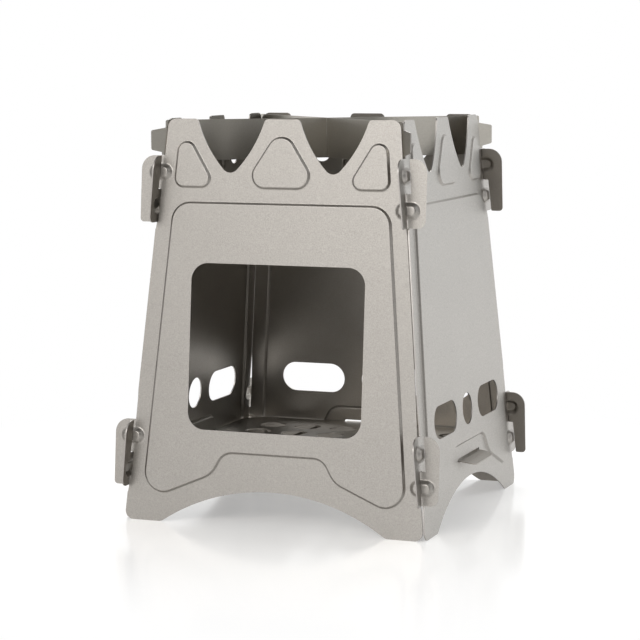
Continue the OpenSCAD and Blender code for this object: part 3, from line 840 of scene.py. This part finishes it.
def cross_outline(slot_up):
    """Plate with end tabs and a slot that opens upwards or downwards."""
    low = SEAT_Z + TAB_RISE
    top = low + TAB_H
    end = on_diagonal(low + TAB_H / 2) + TAB_REACH
    body = on_diagonal(CROSS_BOTTOM) - SHEET * math.sqrt(2) - CROSS_GAP
    seat, crown = on_diagonal(SEAT_Z) + EAR_PLAY, on_diagonal(CROSS_TOP) + EAR_PLAY
    right = [((body, CROSS_BOTTOM), CROSS_FOOT_R), ((body, SEAT_Z), NICK_R), ((seat, SEAT_Z), NICK_R),
             ((seat, low), NICK_R), ((end, low + TAB_SLANT), TAB_R), ((end, top - TAB_SLANT), TAB_R),
             ((crown, top), NICK_R), ((crown, CROSS_TOP), TAB_R)]
    half = LAP_W / 2
    if slot_up:
        slot = [((half, CROSS_TOP), 0.0), ((half, LAP_Z - LAP_GAP), LAP_R), ((-half, LAP_Z - LAP_GAP), LAP_R),
                ((-half, CROSS_TOP), 0.0)]
        return rounded(right + slot + mirrored(right))
    slot = [((-half, CROSS_BOTTOM), 0.0), ((-half, LAP_Z + LAP_GAP), LAP_R), ((half, LAP_Z + LAP_GAP), LAP_R),
            ((half, CROSS_BOTTOM), 0.0)]
    return rounded(slot + right + mirrored(right))


print("a support is", round(2 * max(u for u, v in cross_outline(True)), 1), "mm long")

# %% [markdown]
# They are flat sheets too, so the same builder makes them, without any pressed form. Each has a body of its
# own, because it can be lifted out.

# %% Pot supports
def upright(diagonal):
    """Lay function of a plate that stands on a diagonal, at this many degrees from the X axis."""
    a = math.radians(diagonal)

    def lay(x, z, w):
        out = w + SHEET / 2
        return Vector((x * math.cos(a) + out * math.sin(a), x * math.sin(a) - out * math.cos(a), z)) * MM
    return lay


for node, diagonal, slot_up, body in (("pot_cross_lower", 45, True, "lower_support"),
                                      ("pot_cross_upper", -45, False, "upper_support")):
    mesh = sheet_mesh(node + "_plate", cross_outline(slot_up), [], [], SHEET, upright(diagonal))
    piece = add_piece(node + "_plate", mesh, [plate_face, plate_face, punched_edge], node)
    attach(piece, body)
    print(piece.name, len(mesh.polygons), "faces")

# %% [markdown]
# ## Floor
# The photograph stands the stove on a white ground with a soft grey shadow. The floor is a plain pale sheet.
# Near the stove it takes the shadow, and further out it fades to pure white, but only for the camera. A
# little glow stands for the light that a white studio throws into a shadow. Camera and mirrored rays see it.

# %% Floor
FLOOR_HALF, FLOOR_DROP = 6.0, 0.00002       # metres: half its side, and how far it lies under the feet
FADE_START, FADE_END = 0.08, 0.25           # metres from the middle, between which it fades to white
FLOOR_COLOUR, FLOOR_ROUGH, FLOOR_SPECULAR, FLOOR_LIFT = "ECEBE9", 0.15, 0.3, 0.35


def pale_floor():
    """Pale floor that takes the stove's shadow and is white in the distance."""
    mesh = bpy.data.meshes.new("floor")
    s = FLOOR_HALF
    mesh.from_pydata([(-s, -s, 0), (s, -s, 0), (s, s, 0), (-s, s, 0)], [], [(0, 1, 2, 3)])
    floor = bpy.data.objects.new("floor", mesh)
    floor.location.z = -FLOOR_DROP
    bpy.context.scene.collection.objects.link(floor)
    material = bpy.data.materials.new("pale_floor")
    material.use_nodes = True
    tree = material.node_tree
    tree.nodes.clear()
    place = put(tree, "ShaderNodeTexCoord").outputs["Object"]
    away = put(tree, "ShaderNodeVectorMath", {0: place}, operation="LENGTH")
    far = put(tree, "ShaderNodeMapRange", {"Value": away.outputs["Value"]}, interpolation_type="SMOOTHSTEP",
              From_Min=FADE_START, From_Max=FADE_END)
    ray = put(tree, "ShaderNodeLightPath")
    shown = put(tree, "ShaderNodeMath", {0: ray.outputs["Is Camera Ray"], 1: ray.outputs["Is Glossy Ray"]},
                operation="MAXIMUM")
    lift = put(tree, "ShaderNodeMath", {0: shown.outputs[0]}, operation="MULTIPLY")
    lift.inputs[1].default_value = FLOOR_LIFT
    paint = put(tree, "ShaderNodeBsdfPrincipled", {"Emission Strength": lift.outputs[0]},
                Base_Color=linear(FLOOR_COLOUR), Roughness=FLOOR_ROUGH, Emission_Color=(1, 1, 1, 1))
    paint.inputs["Specular IOR Level"].default_value = FLOOR_SPECULAR
    white = put(tree, "ShaderNodeEmission", Color=(1, 1, 1, 1), Strength=1.0)
    seen = put(tree, "ShaderNodeMath", {0: ray.outputs["Is Camera Ray"], 1: far.outputs[0]},
               operation="MULTIPLY")
    both = put(tree, "ShaderNodeMixShader", {0: seen.outputs[0], 1: paint.outputs[0], 2: white.outputs[0]})
    put(tree, "ShaderNodeOutputMaterial", {"Surface": both.outputs[0]})
    mesh.materials.append(material)
    return floor


floor = pale_floor()
print("floor is", floor.dimensions.x, "m wide")

# %% [markdown]
# ## Sky, cards and lamps
# Bare metal shows what it mirrors, so this light is drawn for its reflections. A white sky fills the room.
# Its strength for matt surfaces and its strength for the camera and for metal are two numbers, so the
# background stays pure white whatever the light does.

# %% White sky
def white_sky(strength, shown):
    """Sky of one strength for matt surfaces and another for the camera, metal and glass."""
    world = bpy.data.worlds.new("white_sky")
    bpy.context.scene.world = world
    world.use_nodes = True
    tree = world.node_tree
    tree.nodes.clear()
    ray = put(tree, "ShaderNodeLightPath")
    glossy = put(tree, "ShaderNodeMath", {0: ray.outputs["Is Camera Ray"], 1: ray.outputs["Is Glossy Ray"]},
                 operation="MAXIMUM")
    direct = put(tree, "ShaderNodeMath", {0: glossy.outputs[0], 1: ray.outputs["Is Transmission Ray"]},
                 operation="MAXIMUM")
    level = put(tree, "ShaderNodeMix", {0: direct.outputs[0]}, data_type="FLOAT")
    level.inputs[2].default_value, level.inputs[3].default_value = strength, shown
    sky = put(tree, "ShaderNodeBackground", {"Strength": level.outputs[0]}, Color=(1, 1, 1, 1))
    put(tree, "ShaderNodeOutputWorld", {"Surface": sky.outputs[0]})


white_sky(strength=0.8, shown=1.0)
print("sky:", bpy.context.scene.world.name)

# %% [markdown]
# Three grey cards stand where the photograph's studio was dark. The walls of the pressed forms mirror the
# card on the right and the one overhead, which draws their dark lines. The low card on the left lets the
# front fade towards its foot. The camera doesn't see the cards.

# %% Grey cards
CARD_DISTANCE, CARD_GREY = 1.2, "606060"        # metres from the stove's middle


def grey_card(name, spot, side, up):
    """Card that darkens what the metal mirrors. side and up are its half extents."""
    spot, side, up = Vector(spot), Vector(side), Vector(up)
    mesh = bpy.data.meshes.new(name)
    corners = [spot - side - up, spot + side - up, spot + side + up, spot - side + up]
    mesh.from_pydata(corners, [], [(0, 1, 2, 3)])
    card = bpy.data.objects.new(name, mesh)
    bpy.context.scene.collection.objects.link(card)
    card.visible_camera = False
    paper = bpy.data.materials.new(name)
    paper.use_nodes = True
    paper.node_tree.nodes.clear()
    matt = put(paper.node_tree, "ShaderNodeBsdfDiffuse", Color=linear(CARD_GREY))
    put(paper.node_tree, "ShaderNodeOutputMaterial", {"Surface": matt.outputs[0]})
    mesh.materials.append(paper)
    print(name, "at", [round(v, 2) for v in spot])


def upright_card(name, azimuth, half_width, height):
    """Card that stands on the floor, at an azimuth counted from straight in front of the window."""
    a = math.radians(azimuth)
    grey_card(name, (CARD_DISTANCE * math.sin(a), -CARD_DISTANCE * math.cos(a), height / 2),
              (half_width * math.cos(a), half_width * math.sin(a), 0.0), (0.0, 0.0, height / 2))


upright_card("right_card", azimuth=42, half_width=0.55, height=1.2)
upright_card("left_card", azimuth=-58, half_width=0.5, height=0.34)
grey_card("ceiling_card", spot=(0.0, -0.15, 0.9), side=(0.5, 0.0, 0.0), up=(0.0, 0.5, 0.0))

# %% [markdown]
# Three large soft lamps finish the light. The warm one in front brightens the window side. The cool one
# behind on the right does the same for the right panel, whose mirrored rays go there. The last one lights
# the floor.

# %% Lamps
def soft_lamp(name, spot, width, height, power, colour=(1, 1, 1)):
    """Large lamp that points at the middle of the stove. Lengths are metres, power is watts."""
    data = bpy.data.lights.new(name, "AREA")
    data.shape, data.size, data.size_y = "RECTANGLE", width, height
    data.energy, data.color = power, colour
    lamp = bpy.data.objects.new(name, data)
    lamp.location = spot
    lamp.rotation_mode = "QUATERNION"
    lamp.rotation_quaternion = (Vector((0.0, 0.0, BODY_H / 2 * MM)) - Vector(spot)).to_track_quat("-Z", "Y")
    bpy.context.scene.collection.objects.link(lamp)


soft_lamp("front_lamp", (-0.2, -1.55, 0.85), width=0.7, height=0.5, power=9.8, colour=(1.0, 0.98, 0.95))
soft_lamp("right_lamp", (1.2, 1.1, 0.6), width=0.8, height=0.8, power=5.0, colour=(0.83, 0.92, 0.98))
soft_lamp("back_lamp", (-0.3, 0.9, 1.2), width=0.7, height=0.7, power=4.5)
bpy.context.scene.view_settings.view_transform = "Standard"
